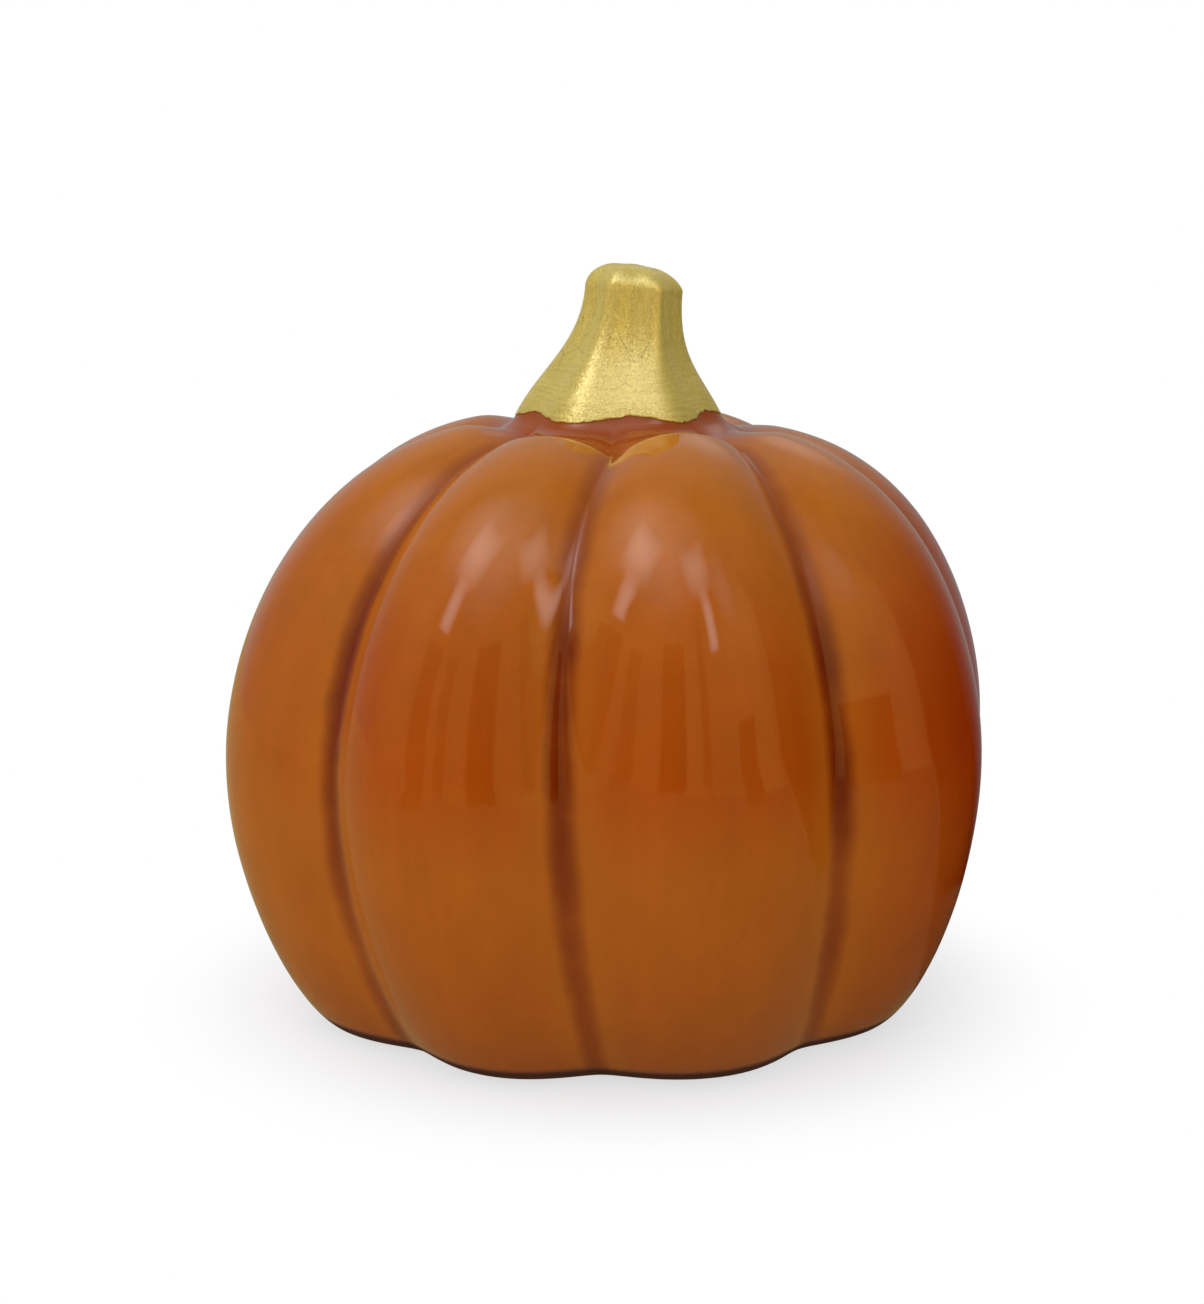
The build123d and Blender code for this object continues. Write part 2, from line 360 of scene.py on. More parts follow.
def newMaterial(name):
    material = bpy.data.materials.new(name)
    material.use_nodes = True
    return material, material.node_tree, material.node_tree.nodes["Principled BSDF"]


glazeLook = {
    # sRGB by the share of the way up to the stem's root: the open ribs, and the glaze pooled in the grooves
    # both are partly the glaze's own colour and partly painted: a darker belt round the waist is a painted
    # reflection of a dark room, the lower body is darker as painted shade, and the shoulder partly lighter as
    # painted light
    "tones": {0.0: "#9e4a18", 0.12: "#a14f12", 0.29: "#aa5611", 0.37: "#a54608", 0.45: "#a54b0b",
              0.54: "#b05e10", 0.66: "#b6690f", 0.86: "#9a450e"},
    "pools": {0.05: "#84360c", 0.25: "#84360c", 0.35: "#6a1b02", 0.47: "#6a1b02", 0.62: "#96480f"},
    "thin": "#ad5c14", "rolled": "#3a1407",  # sRGB: thin beside a groove, and the painted shadow along the lower edge
    # where thin and pooled glaze end (0 is a groove, 1 a rib's crest), and how much the thin one shows
    "thinReach": (0.12, 0.42), "thinShare": 0.5, "poolReach": (-0.03, 0.118), "reachWander": 0.02,
    # levels between which both narrow with the ribs, to which share, and between which they end
    "narrows": (1.1, 2.1), "narrowest": 0.4, "reachEnds": (2.0, 2.6),
    # levels between which the painted shadow along the lower edge ends, how ragged it is there, and how much
    # it shows
    "rolledReach": (0.11, 0.16), "ragged": 0.02, "rolledShare": 0.9,
    # painted light: lighter and yellower towards -X, where more light falls, and painted shade, deeper and
    # darker, towards +X; from and to how many mm
    "thinSide": "#aa601f", "thinFrom": (-38.0, -70.0), "thinSideShare": 0.6,
    "thickSide": "#dc9470", "thickFrom": (36.0, 76.0),
    "thickness": 0.4, "lowerEdge": 0.003,  # mm, and the share of the crest line where the coat starts
    "reliefHeight": 0.1, "reliefScale": 60.0,  # mm and per m: how uneven its surface is
    "roughness": 0.045, "ior": 1.5, "rolledRoughness": 0.9,
    "cloudSize": 14.0, "cloudStrength": 0.06,  # mm and share: soft cloudy patches
    "runWidth": 2.6, "runStrength": 0.04,  # mm and share: upright runs
    "grainSize": 0.5, "grainStrength": 0.035,  # mm and share: the fine colour grain of the stain
    "pinholeSpacing": 26.0, "pinholeSize": 0.55, "pinholeShare": 0.3,  # mm, mm, share of the places with one
    "pinholeRim": "#d9a860", "rimShare": 0.7, "pinholeHeart": "#3a1204", "heartShare": 0.9,
    "peelSize": 6.0, "peelDepth": 0.012,  # mm: the slight orange peel of a dipped glaze
    "dimpleSpacing": 34.0, "dimpleSize": 2.2, "dimpleDepth": 0.05,  # mm
}


def glazeMaterial():
    # dipped transparent glaze over a stain on earthenware: a wet gloss, thin and ochre where it ran off the
    # edges of the grooves, red-brown where it pooled in them
    look = glazeLook
    material, tree, shader = newMaterial("dipped earthenware glaze")
    add = partial(addNode, tree)

    place = add("ShaderNodeTexCoord").outputs["Object"]
    rise = add("ShaderNodeAttribute", attribute_name="ribRise").outputs["Fac"]
    level = add("ShaderNodeAttribute", attribute_name="level").outputs["Fac"]
    clouds = add(noise, place, None, 1 / (look["cloudSize"] * mm), 3.0, 0.55)
    upright = add("ShaderNodeMapping", place, None, None, (1, 1, 0.06))
    runs = add(noise, upright, None, 1 / (look["runWidth"] * mm), 2.0, 0.5)
    grain = add(noise, place, None, 1 / (look["grainSize"] * mm), 2.0, 0.6)

    # the open ribs and the pools, by height, with painted light and a painted reflection in their tones
    height = add(ramp, level, 0, 3, 0, 1)
    tone = add("ShaderNodeValToRGB", height, stops=look["tones"])
    pooled = add("ShaderNodeValToRGB", height, stops=look["pools"])

    # towards the crown the ribs narrow, so a pool of the same width is a larger share of them
    narrowing = add(ramp, level, *look["narrows"], 1, look["narrowest"], **smooth)
    wander = add(ramp, clouds, 0.3, 0.7, -look["reachWander"], look["reachWander"])
    beside = add(number, add(number, rise, wander), narrowing, operation="MULTIPLY")
    onBody = add(ramp, level, *look["reachEnds"], 1, 0, **smooth)
    thinning = add(ramp, beside, *look["thinReach"], look["thinShare"], 0, **smooth)
    thinning = add(number, thinning, onBody, operation="MULTIPLY")
    pooling = add(ramp, beside, *look["poolReach"], 1, 0, **smooth)
    pooling = add(number, pooling, onBody, operation="MULTIPLY")
    # painted light towards -X and painted shade towards +X
    sideways = add("ShaderNodeSeparateXYZ", place)
    start, end = (edge * mm for edge in look["thinFrom"])
    thinSide = add(ramp, sideways, start, end, 0, look["thinSideShare"], **smooth)
    start, end = (edge * mm for edge in look["thickFrom"])
    thickSide = add(ramp, sideways, start, end, 0, 1, **smooth)

    # the lower edge, darkened with a painted shadow where the foot nears the table, and matt there
    ragged = add(number, grain, look["ragged"], level, operation="MULTIPLY_ADD")
    rolled = add(ramp, ragged, *look["rolledReach"], look["rolledShare"], 0)

    # clouds, runs and grain lighten and darken it
    shade = 1.0
    for pattern, name in ((clouds, "cloudStrength"), (runs, "runStrength"), (grain, "grainStrength")):
        part = add(ramp, pattern, 0.25, 0.75, 1 - look[name], 1 + look[name])
        shade = add(number, shade, part, operation="MULTIPLY")

    # pinholes: a pale rim round a dark heart
    spots = add("ShaderNodeTexVoronoi", place, None, 1 / (look["pinholeSpacing"] * mm))
    chance = add("ShaderNodeSeparateColor", spots.outputs["Color"])
    chosen = add(number, chance, look["pinholeShare"], operation="LESS_THAN")
    size = look["pinholeSize"] / look["pinholeSpacing"]
    rim = add(ramp, spots, 0.6 * size, size, look["rimShare"], 0)
    rim = add(number, rim, chosen, operation="MULTIPLY")
    heart = add(ramp, spots, 0.25 * size, 0.45 * size, look["heartShare"], 0)
    heart = add(number, heart, chosen, operation="MULTIPLY")

    colour = tone
    for share, tint, way in (
        (thinning, linearColour(look["thin"]), "MIX"),
        (thinSide, linearColour(look["thinSide"]), "MIX"),
        (pooling, pooled, "MIX"),
        (thickSide, linearColour(look["thickSide"]), "MULTIPLY"),
        (1.0, shade, "MULTIPLY"),
        (rim, linearColour(look["pinholeRim"]), "MIX"),
        (heart, linearColour(look["pinholeHeart"]), "MIX"),
        (rolled, linearColour(look["rolled"]), "MIX"),
    ):
        layer = {"Factor": share, "A": colour, "B": tint}
        colour = add("ShaderNodeMix", layer, data_type="RGBA", blend_type=way)
    matt = add(ramp, rolled, 0, look["rolledShare"], look["roughness"], look["rolledRoughness"])

    # orange peel and a few dimples
    peel = add(noise, place, None, 1 / (look["peelSize"] * mm), 2.0, 0.5)
    peel = add(number, peel, look["peelDepth"] * mm, operation="MULTIPLY")
    dents = add("ShaderNodeTexVoronoi", place, None, 1 / (look["dimpleSpacing"] * mm), feature="SMOOTH_F1")
    size = look["dimpleSize"] / look["dimpleSpacing"]
    dents = add(ramp, dents, 0, size, -look["dimpleDepth"] * mm, 0, **smooth)
    relief = add(number, peel, dents)
    bump = add("ShaderNodeBump", {"Strength": 1.0, "Distance": 1.0, "Height": relief})
    fill(shader, {"Base Color": colour, "Roughness": matt, "Normal": bump, "IOR": look["ior"]})
    return material


goldLook = {
    "bright": "#f5df6c", "deep": "#ccaa34", "crack": "#5a4416",  # sRGB: flakes, their binder and the cracks
    "thickness": 0.2, "edgeLevel": 2.95,  # mm, and the level of its lower edge at the ridges of the stem
    "edgeScallop": 0.008, "edgeWander": 0.008,  # shares of the crest line by which the edge moves
    "reliefHeight": 0.1, "reliefScale": 60.0,  # mm and per m: how uneven its surface is
    "metallic": 0.32, "roughness": 0.3, "ior": 2.6,  # bronze flakes among mica flakes coated with titania
    "flakeSize": 0.2, "flakeTilt": 0.27,  # mm, coarser than real so that they show, and how far they lean
    "brushWidth": 0.35, "brushDepth": 0.036, "strokesTurn": (3.3, 3.7),  # mm, mm, and where they turn upright
    "pitSpacing": 2.4, "pitSize": 0.14, "pitDepth": 0.03,  # mm
    "crackSpacing": 6.0, "crackWidth": 0.07, "crackDepth": 0.02,  # mm
    "crackLevels": (3.2, 3.3, 3.6, 3.8),  # levels where they begin, are strongest (from and to) and end
    "crackBends": 0.3, "crackBreaks": 0.12, "crackShare": 0.7,  # per mm, per mm, and how much they show
}


def goldMaterial():
    # brushed-on gold lacquer: metal flakes in a clear binder, so a broad satin glow with sparkle
    look = goldLook
    material, tree, shader = newMaterial("brushed gold lacquer")
    add = partial(addNode, tree)

    place = add("ShaderNodeTexCoord").outputs["Object"]
    level = add("ShaderNodeAttribute", attribute_name="level").outputs["Fac"]
    flakes = add("ShaderNodeTexVoronoi", place, None, 1 / (look["flakeSize"] * mm)).outputs["Color"]

    # brush strokes: upright on the stem, and round it near its root
    strokes = []
    for way in ((1, 1, 0.06), (0.06, 0.06, 1)):
        along = add("ShaderNodeMapping", place, None, None, way)
        strokes.append(add(noise, along, None, 1 / (look["brushWidth"] * mm), 3.0, 0.6))
    nearRoot = add(ramp, level, *look["strokesTurn"], 1, 0, **smooth)
    stroke = add("ShaderNodeMix", {"Factor": nearRoot, "A": strokes[0], "B": strokes[1]})
    depth = add(number, add("ShaderNodeSeparateColor", flakes), 0.5, stroke, operation="MULTIPLY_ADD")
    depth = add(ramp, depth, 0.3, 1.1, 0, 1)
    tone = add("ShaderNodeValToRGB", depth, stops={0.0: look["deep"], 1.0: look["bright"]})

    # a few hairline cracks low on the stem
    warp = add(noise, place, None, look["crackBends"] / mm, 3.0).outputs["Color"]
    warped = add("ShaderNodeVectorMath", warp, (mm, mm, mm), place, operation="MULTIPLY_ADD")
    spacing = look["crackSpacing"]
    cracks = add("ShaderNodeTexVoronoi", warped, None, 1 / (spacing * mm), feature="DISTANCE_TO_EDGE")
    cracks = add(ramp, cracks, 0, look["crackWidth"] / spacing, 1, 0)
    begin, full, fade, end = look["crackLevels"]
    broken = add(noise, place, None, look["crackBreaks"] / mm, 2.0)
    whole = (broken, 0.48, 0.52, 0, look["crackShare"])
    for mask in ((level, begin, full, 0, 1), (level, end, fade, 0, 1), whole):
        cracks = add(number, cracks, add(ramp, *mask), operation="MULTIPLY")
    cracked = {"Factor": cracks, "A": tone, "B": linearColour(look["crack"])}
    colour = add("ShaderNodeMix", cracked, data_type="RGBA")

    pits = add("ShaderNodeTexVoronoi", place, None, 1 / (look["pitSpacing"] * mm))
    size = look["pitSize"] / look["pitSpacing"]
    pits = add(ramp, pits, 0.3 * size, size, -look["pitDepth"] * mm, 0)
    relief = add(number, stroke, look["brushDepth"] * mm, pits, operation="MULTIPLY_ADD")
    relief = add(number, cracks, -look["crackDepth"] * mm, relief, operation="MULTIPLY_ADD")
    bump = add("ShaderNodeBump", {"Strength": 1.0, "Distance": 1.0, "Height": relief})

    # each flake leans its own way, which makes the glitter
    lean = add("ShaderNodeVectorMath", flakes, (0.5, 0.5, 0.5), operation="SUBTRACT")
    lean = add("ShaderNodeVectorMath", lean, [look["flakeTilt"]] * 3, bump, operation="MULTIPLY_ADD")
    facing = add("ShaderNodeVectorMath", lean, operation="NORMALIZE")
    fill(shader, {
        "Base Color": colour, "Normal": facing, "Metallic": look["metallic"], "Roughness": look["roughness"],
        "IOR": look["ior"],
    })
    return material


glazeCoat = meshFromTree("glazeCoat", ribbedCoat, {
    **formInputs, "Material": glazeMaterial(), "Steps Round": 320, "Inner Rows": 40, "Outer Rows": 230,
    "Inner Inset": glazeLook["thickness"] * mm, "Lower Edge": glazeLook["lowerEdge"],
    "Relief Height": glazeLook["reliefHeight"] * mm, "Relief Scale": glazeLook["reliefScale"],
})
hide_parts("orange_glaze")
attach(glazeCoat, "root")

goldCoat = meshFromTree("goldCoat", ribbedCoat, {
    **formInputs, "Material": goldMaterial(), "Steps Round": 400, "Inner Rows": 30, "Outer Rows": 120,
    "Inner Inset": 0.0, "Outer Inset": -goldLook["thickness"] * mm,
    "Lower Edge": crestShare(goldLook["edgeLevel"]), "Edge Scallop": goldLook["edgeScallop"],
    "Edge Wander": goldLook["edgeWander"], "Relief Height": goldLook["reliefHeight"] * mm,
    "Relief Scale": goldLook["reliefScale"],
})
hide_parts("gold_lacquer")
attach(goldCoat, "root")
print("coats made")

bisqueLook = {
    "pale": "#cfb598", "deep": "#b8966f", "stained": "#3a1c0c",  # sRGB: bare buff body, and the dark of its specks and of the painted shadow at its rim
    "roughness": 0.85, "cloudSize": 12.0, "grainSize": 0.6, "grainDepth": 0.03,  # mm
    "speckSpacing": 3.2, "speckSize": 0.22, "speckShare": 0.8,  # mm, mm and how dark
    "rimRadius": 45.0, "rimHeight": (0.05, 0.2),  # mm from the axis and above the base: where the painted shadow darkens it
}


def bisqueMaterial():
    # unglazed earthenware: chalky and finely grained, with iron specks, and a painted shadow darkening its
    # outer rim
    look = bisqueLook
    material, tree, shader = newMaterial("unglazed earthenware")
    add = partial(addNode, tree)

    place = add("ShaderNodeTexCoord").outputs["Object"]
    grain = add(noise, place, None, 1 / (look["grainSize"] * mm), 4.0, 0.6)
    clouds = add(noise, place, None, 1 / (look["cloudSize"] * mm), 3.0, 0.5)
    depth = add(number, grain, 0.6, clouds, operation="MULTIPLY_ADD")
    depth = add(ramp, depth, 0.5, 1.1, 0, 1)
    tone = add("ShaderNodeValToRGB", depth, stops={0.0: look["deep"], 1.0: look["pale"]})
    specks = add("ShaderNodeTexVoronoi", place, None, 1 / (look["speckSpacing"] * mm))
    size = look["speckSize"] / look["speckSpacing"]
    specks = add(ramp, specks, 0.4 * size, size, look["speckShare"], 0)

    # the rim lies outside the recess and rises from the flat underside
    axis = add("ShaderNodeVectorMath", place, (*(-a * mm for a in form["axis"]), 0))
    axis = add("ShaderNodeVectorMath", axis, (1, 1, 0), operation="MULTIPLY")
    away = add("ShaderNodeVectorMath", axis, operation="LENGTH")
    outside = add(number, away, look["rimRadius"] * mm, operation="GREATER_THAN")
    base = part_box("body_casting")[0].z
    low, high = (base + height * mm for height in look["rimHeight"])
    raised = add(ramp, add("ShaderNodeSeparateXYZ", place).outputs["Z"], low, high, 0, 1)
    # the rim carries the painted shadow along the foot's outer edge
    rim = add(number, outside, raised, operation="MULTIPLY")

    # dark specks, then the painted shadow along the rim
    colour = tone
    for share in (specks, rim):
        stained = {"Factor": share, "A": colour, "B": linearColour(look["stained"])}
        colour = add("ShaderNodeMix", stained, data_type="RGBA")
    relief = add(number, grain, look["grainDepth"] * mm, operation="MULTIPLY")
    bump = add("ShaderNodeBump", {"Strength": 1.0, "Distance": 1.0, "Height": relief})
    fill(shader, {"Base Color": colour, "Normal": bump, "Roughness": look["roughness"]})
    return material


bisque = bisqueMaterial()
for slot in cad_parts["body_casting"].material_slots:
    slot.material = bisque
print("casting dressed")

feltLook = {
    "light": "#73614f", "dark": "#46382c",  # sRGB: pressed brown wool
    "roughness": 0.95, "sheen": 0.2, "mottleSize": 0.5, "mottleDepth": 0.06,  # mm
    "fibresPerArea": 5.0, "fibreLength": 0.9, "fibreWidth": 0.035,  # per mm2, mm, mm
    "softness": 0.12, "proud": 0.1,  # mm: how uneven the cut edge is, and how far fibres stand proud of it
}


def feltMaterial():
    # pressed wool: matt and mottled, with a faint pale sheen from its loose fibres
    look = feltLook
    material, tree, shader = newMaterial("pressed wool felt")
    add = partial(addNode, tree)
    place = add("ShaderNodeTexCoord").outputs["Object"]
    mottle = add(noise, place, None, 1 / (look["mottleSize"] * mm), 4.0, 0.7)
    tone = add("ShaderNodeValToRGB", mottle, stops={0.3: look["dark"], 0.7: look["light"]})
    relief = add(number, mottle, look["mottleDepth"] * mm, operation="MULTIPLY")
    bump = add("ShaderNodeBump", {"Strength": 1.0, "Distance": 1.0, "Height": relief})
    fill(shader, {
        "Base Color": tone, "Normal": bump, "Roughness": look["roughness"], "Sheen Weight": look["sheen"],
    })
    return material


def feltTree():
    # a cut disc with a soft uneven edge and loose fibres lying on it, kept between the table and the base
    tree, given = newTree("felt pad", {
        "Material": ("Material", None), "Place": ("Vector", None), "Radius": ("Float", 0.005),
        "Thickness": ("Float", 0.0008), "Softness": ("Float", 0.0001), "Fibres Per Area": ("Float", 5e6),
        "Fibre Length": ("Float", 0.0009), "Fibre Width": ("Float", 0.000035), "Seed": ("Int", 0),
    }, {"Geometry": "Geometry"})
    add = partial(addNode, tree)
    thickness, length, seed = given["Thickness"], given["Fibre Length"], given["Seed"]

    # the disc, whose skin sinks here and there
    core = add("GeometryNodeMeshCylinder", {
        "Vertices": 96, "Side Segments": 5, "Fill Segments": 10, "Radius": given["Radius"],
        "Depth": add(number, thickness, 0.9, operation="MULTIPLY"),
    }, fill_type="TRIANGLE_FAN")
    spot = add("GeometryNodeInputPosition")
    uneven = add(noise, {"Vector": spot, "Scale": 900.0, "Detail": 3.0})
    sunk = add(number, uneven, 1, operation="SUBTRACT")
    sunk = add(number, sunk, given["Softness"], operation="MULTIPLY")
    inwards = {"Vector": add("GeometryNodeInputNormal"), "Scale": sunk}
    inwards = add("ShaderNodeVectorMath", inwards, operation="SCALE")
    core = add("GeometryNodeSetPosition", {"Geometry": core, "Offset": inwards})

    # one bent fibre, scattered over it
    halves = (add(number, length, share, operation="MULTIPLY") for share in (-0.5, 0.5))
    start, end = (add("ShaderNodeCombineXYZ", half) for half in halves)
    middle = add("ShaderNodeCombineXYZ", None, add(number, length, 0.4, operation="MULTIPLY"))
    fibre = add("GeometryNodeCurveQuadraticBezier", 4, start, middle, end)
    width = add(number, given["Fibre Width"], 0.5, operation="MULTIPLY")
    outline = add("GeometryNodeCurvePrimitiveCircle", {"Resolution": 3, "Radius": width})
    fibre = add("GeometryNodeCurveToMesh", {"Curve": fibre, "Profile Curve": outline, "Fill Caps": True})
    spread = {"Mesh": core, "Density": given["Fibres Per Area"], "Seed": seed}
    spots = add("GeometryNodeDistributePointsOnFaces", spread)
    spin = {"Min": (-0.2, -0.2, -pi), "Max": (0.2, 0.2, pi), "Seed": seed}
    spin = add("FunctionNodeRandomValue", spin, data_type="FLOAT_VECTOR")
    turned = add("FunctionNodeRotateRotation", spots.outputs["Rotation"], spin, rotation_space="LOCAL")
    fibres = add("GeometryNodeInstanceOnPoints", {"Points": spots, "Instance": fibre, "Rotation": turned})
    pad = add("GeometryNodeJoinGeometry", fibres)
    tree.links.new(core.outputs["Geometry"], pad.inputs["Geometry"])
    pad = add("GeometryNodeRealizeInstances", pad)

    # nothing passes the table or the base
    place = add("ShaderNodeSeparateXYZ", add("GeometryNodeInputPosition"))
    top = add(number, thickness, 0.5, operation="MULTIPLY")
    bottom = add(number, thickness, -0.5, operation="MULTIPLY")
    height = add(number, place.outputs["Z"], top, operation="MINIMUM")
    height = add(number, height, bottom, operation="MAXIMUM")
    kept = add("ShaderNodeCombineXYZ", place.outputs["X"], place.outputs["Y"], height)
    pad = add("GeometryNodeSetPosition", {"Geometry": pad, "Position": kept, "Offset": given["Place"]})
    pad = add("GeometryNodeSetShadeSmooth", pad)
    pad = add("GeometryNodeSetMaterial", pad, None, given["Material"])
    add("NodeGroupOutput", pad)
    return tree


felt, padTree = feltMaterial(), feltTree()
for seed, side in enumerate(("front", "right", "back", "left")):
    low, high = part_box("felt_pad_" + side)
    pad = meshFromTree("feltPad" + side.capitalize(), padTree, {
        "Material": felt, "Place": (low + high) / 2, "Radius": (high.x - low.x) / 2 - feltLook["proud"] * mm,
        "Thickness": high.z - low.z, "Softness": feltLook["softness"] * mm,
        "Fibres Per Area": feltLook["fibresPerArea"] / mm ** 2, "Fibre Length": feltLook["fibreLength"] * mm,
        "Fibre Width": feltLook["fibreWidth"] * mm, "Seed": seed,
    })
    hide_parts("felt_pad_" + side)
    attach(pad, "root")
print("felt pads made")

# studio: places in metres, angles in degrees, azimuths from the front towards the viewer's right
view = {"place": (-0.0023, -0.4634, 0.1575), "pitch": 11.06, "lens": 67.64}
camera = bpy.data.objects.new("camera", bpy.data.cameras.new("camera"))
camera.location = view["place"]
camera.rotation_euler = (radians(90 - view["pitch"]), 0, 0)
camera.data.lens = view["lens"]
camera.data.sensor_width = 36.0
camera.data.clip_start = 0.01
scene.collection.objects.link(camera)
scene.camera = camera

studio = {
    # plain soft light: weakest and strongest, where from, the share of it that is left on the viewer's right,
    # and how far to the side (0 is the middle, 1 the right) that begins and is full
    "light": (0.46, 1.22), "lightFrom": (-0.45, -0.3, 0.85), "rightShare": 0.66, "rightFrom": (0.1, 0.8),
    # the floor keeps its shadow near the object and gets whiter between these distances
    "floorReach": 6.0, "floorColour": "#eff1f2", "floorWhite": (0.66, 1.0), "floorFades": (0.055, 0.095),
    "tentRadius": 1.4, "tentCentre": 0.06,
    # soft windows: azimuth, elevation, half width, half height, radiance and how sharp the lower edge is
    "windows": ((-54, 63, 13, 12, 2.1, 2), (-52, 46, 6.5, 9, 2.5, 10), (32, 61, 10, 10, 1.8, 2),
                (34, 43, 4.2, 12, 2.6, 10), (56, 49, 8, 14, 0.5, 2), (165, 34, 12, 12, 0.35, 2)),
    # round glows: azimuth, elevation, how far they reach and radiance
    "glows": ((-20, 70, 37, 1.1), (-88, 66, 26, 0.9)),
    # radiance by azimuth of the ceiling and of the walls' feet, the elevation where they meet, how steeply
    # the walls get lighter and how much darker the zenith is
    "wallTop": 50, "wallGain": 1.5, "zenithLoss": 0.4,
    "ceiling": ((-180, 0.42), (-150, 0.36), (-130, 0.24), (-75, 0.28), (-45, 0.1), (30, 0.1), (60, 0.3),
                (110, 0.17), (140, 0.3), (160, 0.42), (180, 0.42)),
    "wallFeet": ((-180, 0.35), (-150, 0.42), (-135, 0.32), (-120, 0.16), (-75, 0.04), (-30, 0.0), (120, 0.0),
                 (135, 0.1), (150, 0.24), (180, 0.35)),
    # wooden furniture in front, and the elevations between which it ends
    "room": ((-180, 0.0), (-105, 0.0), (-80, 0.5), (70, 0.7), (78, 0.4), (79, 0.0), (180, 0.0)),
    "roomTop": (34, 50), "roomColour": "#ffd676",
    # dark openings in it: between which azimuths, up to where, how far they cut into the table, and the share
    # that is left
    "openings": ((-64, -46, 34, -3, 0.1), (-38, -29, 32, 2, 0.4), (-12, 6, 36, 1, 0.0), (18, 24, 42, 3, 0.3),
                 (46, 60, 10, -2, 0.1)),
    "table": ((-180, 0.45), (-120, 0.4), (-90, 0.28), (-50, 0.28), (20, 0.28), (76, 0.16), (78, 0.07),
              (150, 0.05), (180, 0.45)),
    "tableEdge": ((-180, -2), (-75, -2), (-60, -6), (77, -9), (79, -29), (150, -29), (180, -2)),
    "tableColour": "#ffe8a8",
}


def seenDirectly(tree):
    # 1 for rays that see white: the camera's, reflected and refracted ones
    rays = addNode(tree, "ShaderNodeLightPath").outputs
    seen = addNode(tree, number, rays["Is Camera Ray"], rays["Is Glossy Ray"], operation="MAXIMUM")
    return addNode(tree, number, seen, rays["Is Transmission Ray"], operation="MAXIMUM")


def makeWorld():
    world = bpy.data.worlds.new("studio")
    scene.world = world
    world.use_nodes = True
    tree = world.node_tree
    add = partial(addNode, tree)
    way = add("ShaderNodeTexCoord").outputs["Generated"]
    source = Vector(studio["lightFrom"]).normalized()
    facing = add("ShaderNodeVectorMath", way, source, operation="DOT_PRODUCT")
    soft = add(ramp, facing, -1, 1, *studio["light"])
    rightwards = add("ShaderNodeSeparateXYZ", way)
    share = add(ramp, rightwards, *studio["rightFrom"], 1, studio["rightShare"])
    soft = add(number, soft, share, operation="MULTIPLY")
    strength = add(ramp, seenDirectly(tree), 0, 1, soft, 1.0)
    fill(tree.nodes["Background"], (1, 1, 1, 1), strength)


def makeFloor():
    mesh = bpy.data.meshes.new("floor")
    low, high = -studio["floorReach"], studio["floorReach"]
    mesh.from_pydata([(low, low, 0), (high, low, 0), (high, high, 0), (low, high, 0)], [], [(0, 1, 2, 3)])
    floor = bpy.data.objects.new("floor", mesh)
    scene.collection.objects.link(floor)
    material, tree, shader = newMaterial("pale paper sweep")
    tree.nodes.remove(shader)
    add = partial(addNode, tree)
    paper = add("ShaderNodeBsdfDiffuse", linearColour(studio["floorColour"]))
    white = add("ShaderNodeEmission", (1, 1, 1, 1), 1.0)
    away = add("ShaderNodeVectorMath", add("ShaderNodeTexCoord").outputs["Object"], operation="LENGTH")
    share = add(ramp, away, *studio["floorFades"], *studio["floorWhite"], **smooth)
    share = add(number, share, seenDirectly(tree), operation="MULTIPLY")
    fill(tree.nodes["Material Output"], add("ShaderNodeMixShader", share, paper, white))
    mesh.materials.append(material)


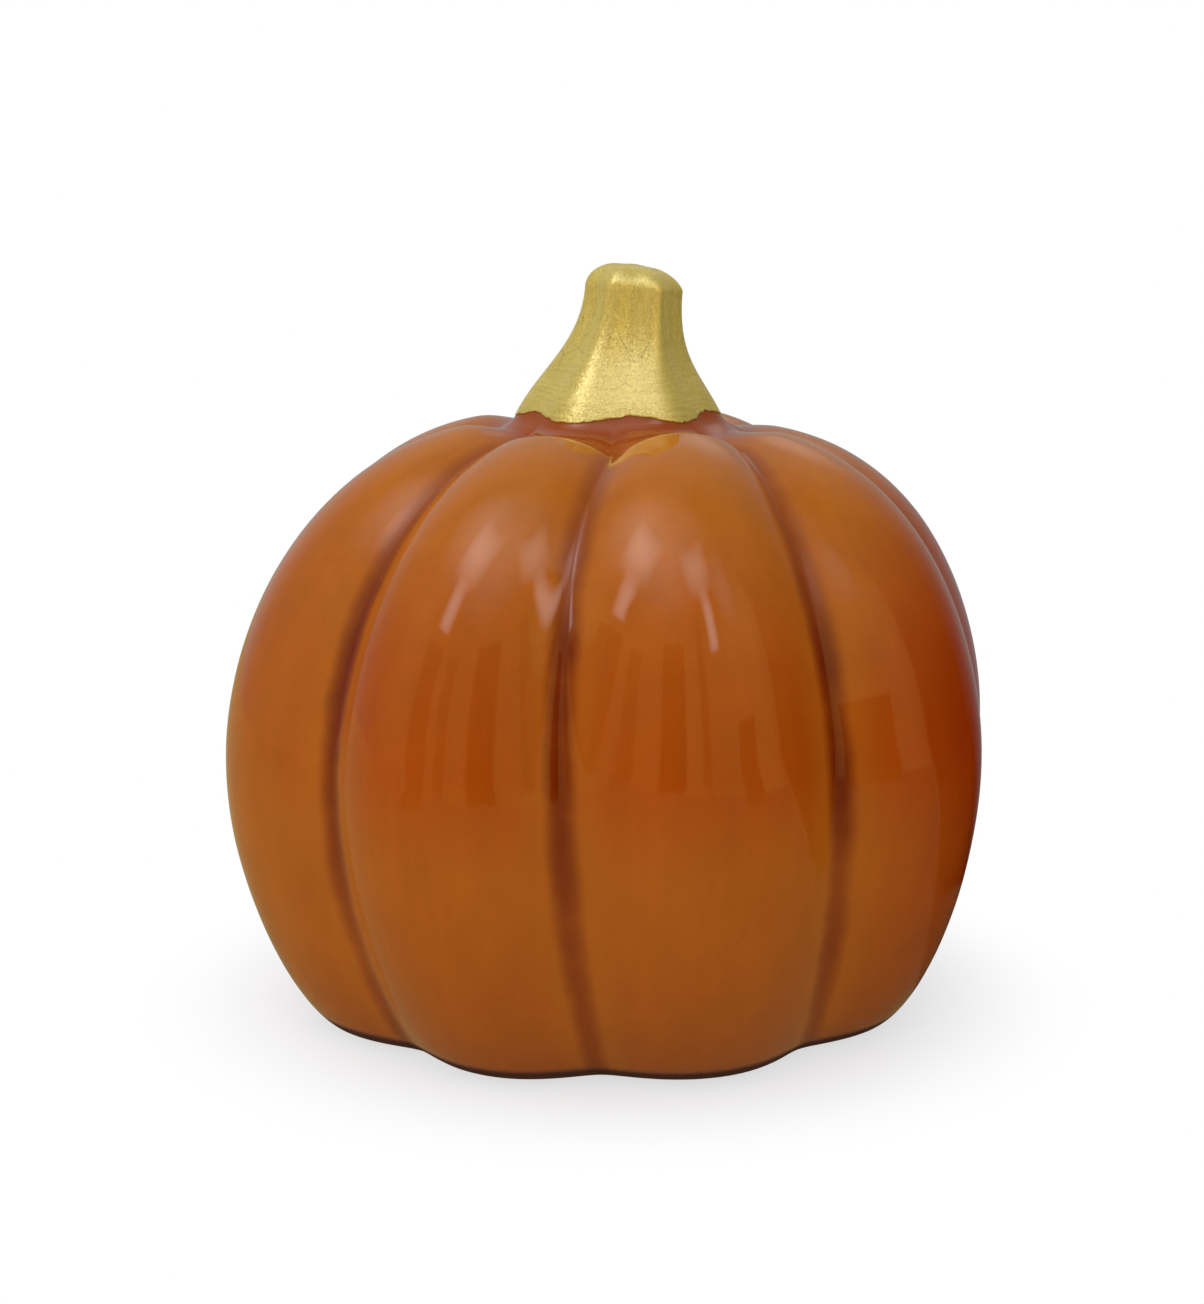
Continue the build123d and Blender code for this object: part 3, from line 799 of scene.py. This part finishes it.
def makeTent():
    # a light tent that only reflections see: soft windows over a dim room and a table
    s = studio
    roomTint, tableTint = linearColour(s["roomColour"]), linearColour(s["tableColour"])

    def byAzimuth(rows, azimuth):
        for (a, before), (b, after) in zip(rows, rows[1:]):
            if azimuth <= b:
                return before + (after - before) * (azimuth - a) / (b - a)

    def shareOf(value, start, end):
        return min(max((value - start) / (end - start), 0), 1)

    def glowAt(azimuth, elevation):
        edge, share = byAzimuth(s["tableEdge"], azimuth), 1
        for start, end, top, foot, left in s["openings"]:
            if start <= azimuth < end:
                edge += foot
                share = left if elevation < top else 1
        if elevation < edge:
            return [byAzimuth(s["table"], azimuth) * tint for tint in tableTint]
        feet, ceiling = byAzimuth(s["wallFeet"], azimuth), byAzimuth(s["ceiling"], azimuth)
        white = feet + shareOf(elevation, 0, s["wallTop"]) ** s["wallGain"] * (ceiling - feet)
        white *= 1 - s["zenithLoss"] * shareOf(elevation, s["wallTop"], 90)
        room = share * byAzimuth(s["room"], azimuth) * shareOf(elevation, *reversed(s["roomTop"]))
        for windowAzimuth, windowElevation, width, height, strength, sharpness in s["windows"]:
            aside = abs((azimuth - windowAzimuth + 180) % 360 - 180) * cos(radians(elevation)) / width
            above = (elevation - windowElevation) / height
            if aside < 1 and abs(above) < 1:
                white += strength * (1 - aside ** 2) * (1 - abs(above) ** (2 if above > 0 else sharpness))
        for glowAzimuth, glowElevation, reach, strength in s["glows"]:
            here, there = radians(elevation), radians(glowElevation)
            level = cos(here) * cos(there) * cos(radians(azimuth - glowAzimuth))
            apart = degrees(acos(min(sin(here) * sin(there) + level, 1)))
            white += strength * (0.5 + 0.5 * cos(pi * shareOf(apart, 0, reach)))
        return [white + room * tint for tint in roomTint]

    points, faces, glows, stepsRound = [], [], [], 240
    elevations = range(-88, 91)
    for elevation in elevations:
        reach = s["tentRadius"]
        if elevation < 0:
            reach = min(reach, (s["tentCentre"] - mm) / sin(radians(-elevation)))
        for i in range(stepsRound):
            azimuth = -180 + 360 * i / stepsRound
            level = polar(reach, elevation)
            sideways, backwards = level.x * sin(radians(azimuth)), -level.x * cos(radians(azimuth))
            points.append((sideways, backwards, s["tentCentre"] + level.z))
            glows.extend((*glowAt(azimuth, elevation)[:3], 1.0))
    for row in range(len(elevations) - 1):
        for i in range(stepsRound):
            a, b = row * stepsRound + i, row * stepsRound + (i + 1) % stepsRound
            faces.append((a, b, b + stepsRound, a + stepsRound))
    mesh = bpy.data.meshes.new("tent")
    mesh.from_pydata(points, [], faces)
    mesh.attributes.new("glow", "FLOAT_COLOR", "POINT").data.foreach_set("color", glows)
    tent = bpy.data.objects.new("tent", mesh)
    scene.collection.objects.link(tent)
    material, tree, shader = newMaterial("tent cloth")
    tree.nodes.remove(shader)
    glow = addNode(tree, "ShaderNodeAttribute", attribute_name="glow").outputs["Color"]
    fill(tree.nodes["Material Output"], addNode(tree, "ShaderNodeEmission", glow, 1.0))
    material.cycles.emission_sampling = "NONE"
    mesh.materials.append(material)
    for way in ("camera", "diffuse", "transmission", "volume_scatter", "shadow"):
        setattr(tent, "visible_" + way, False)


makeWorld()
makeFloor()
makeTent()
print("studio made")
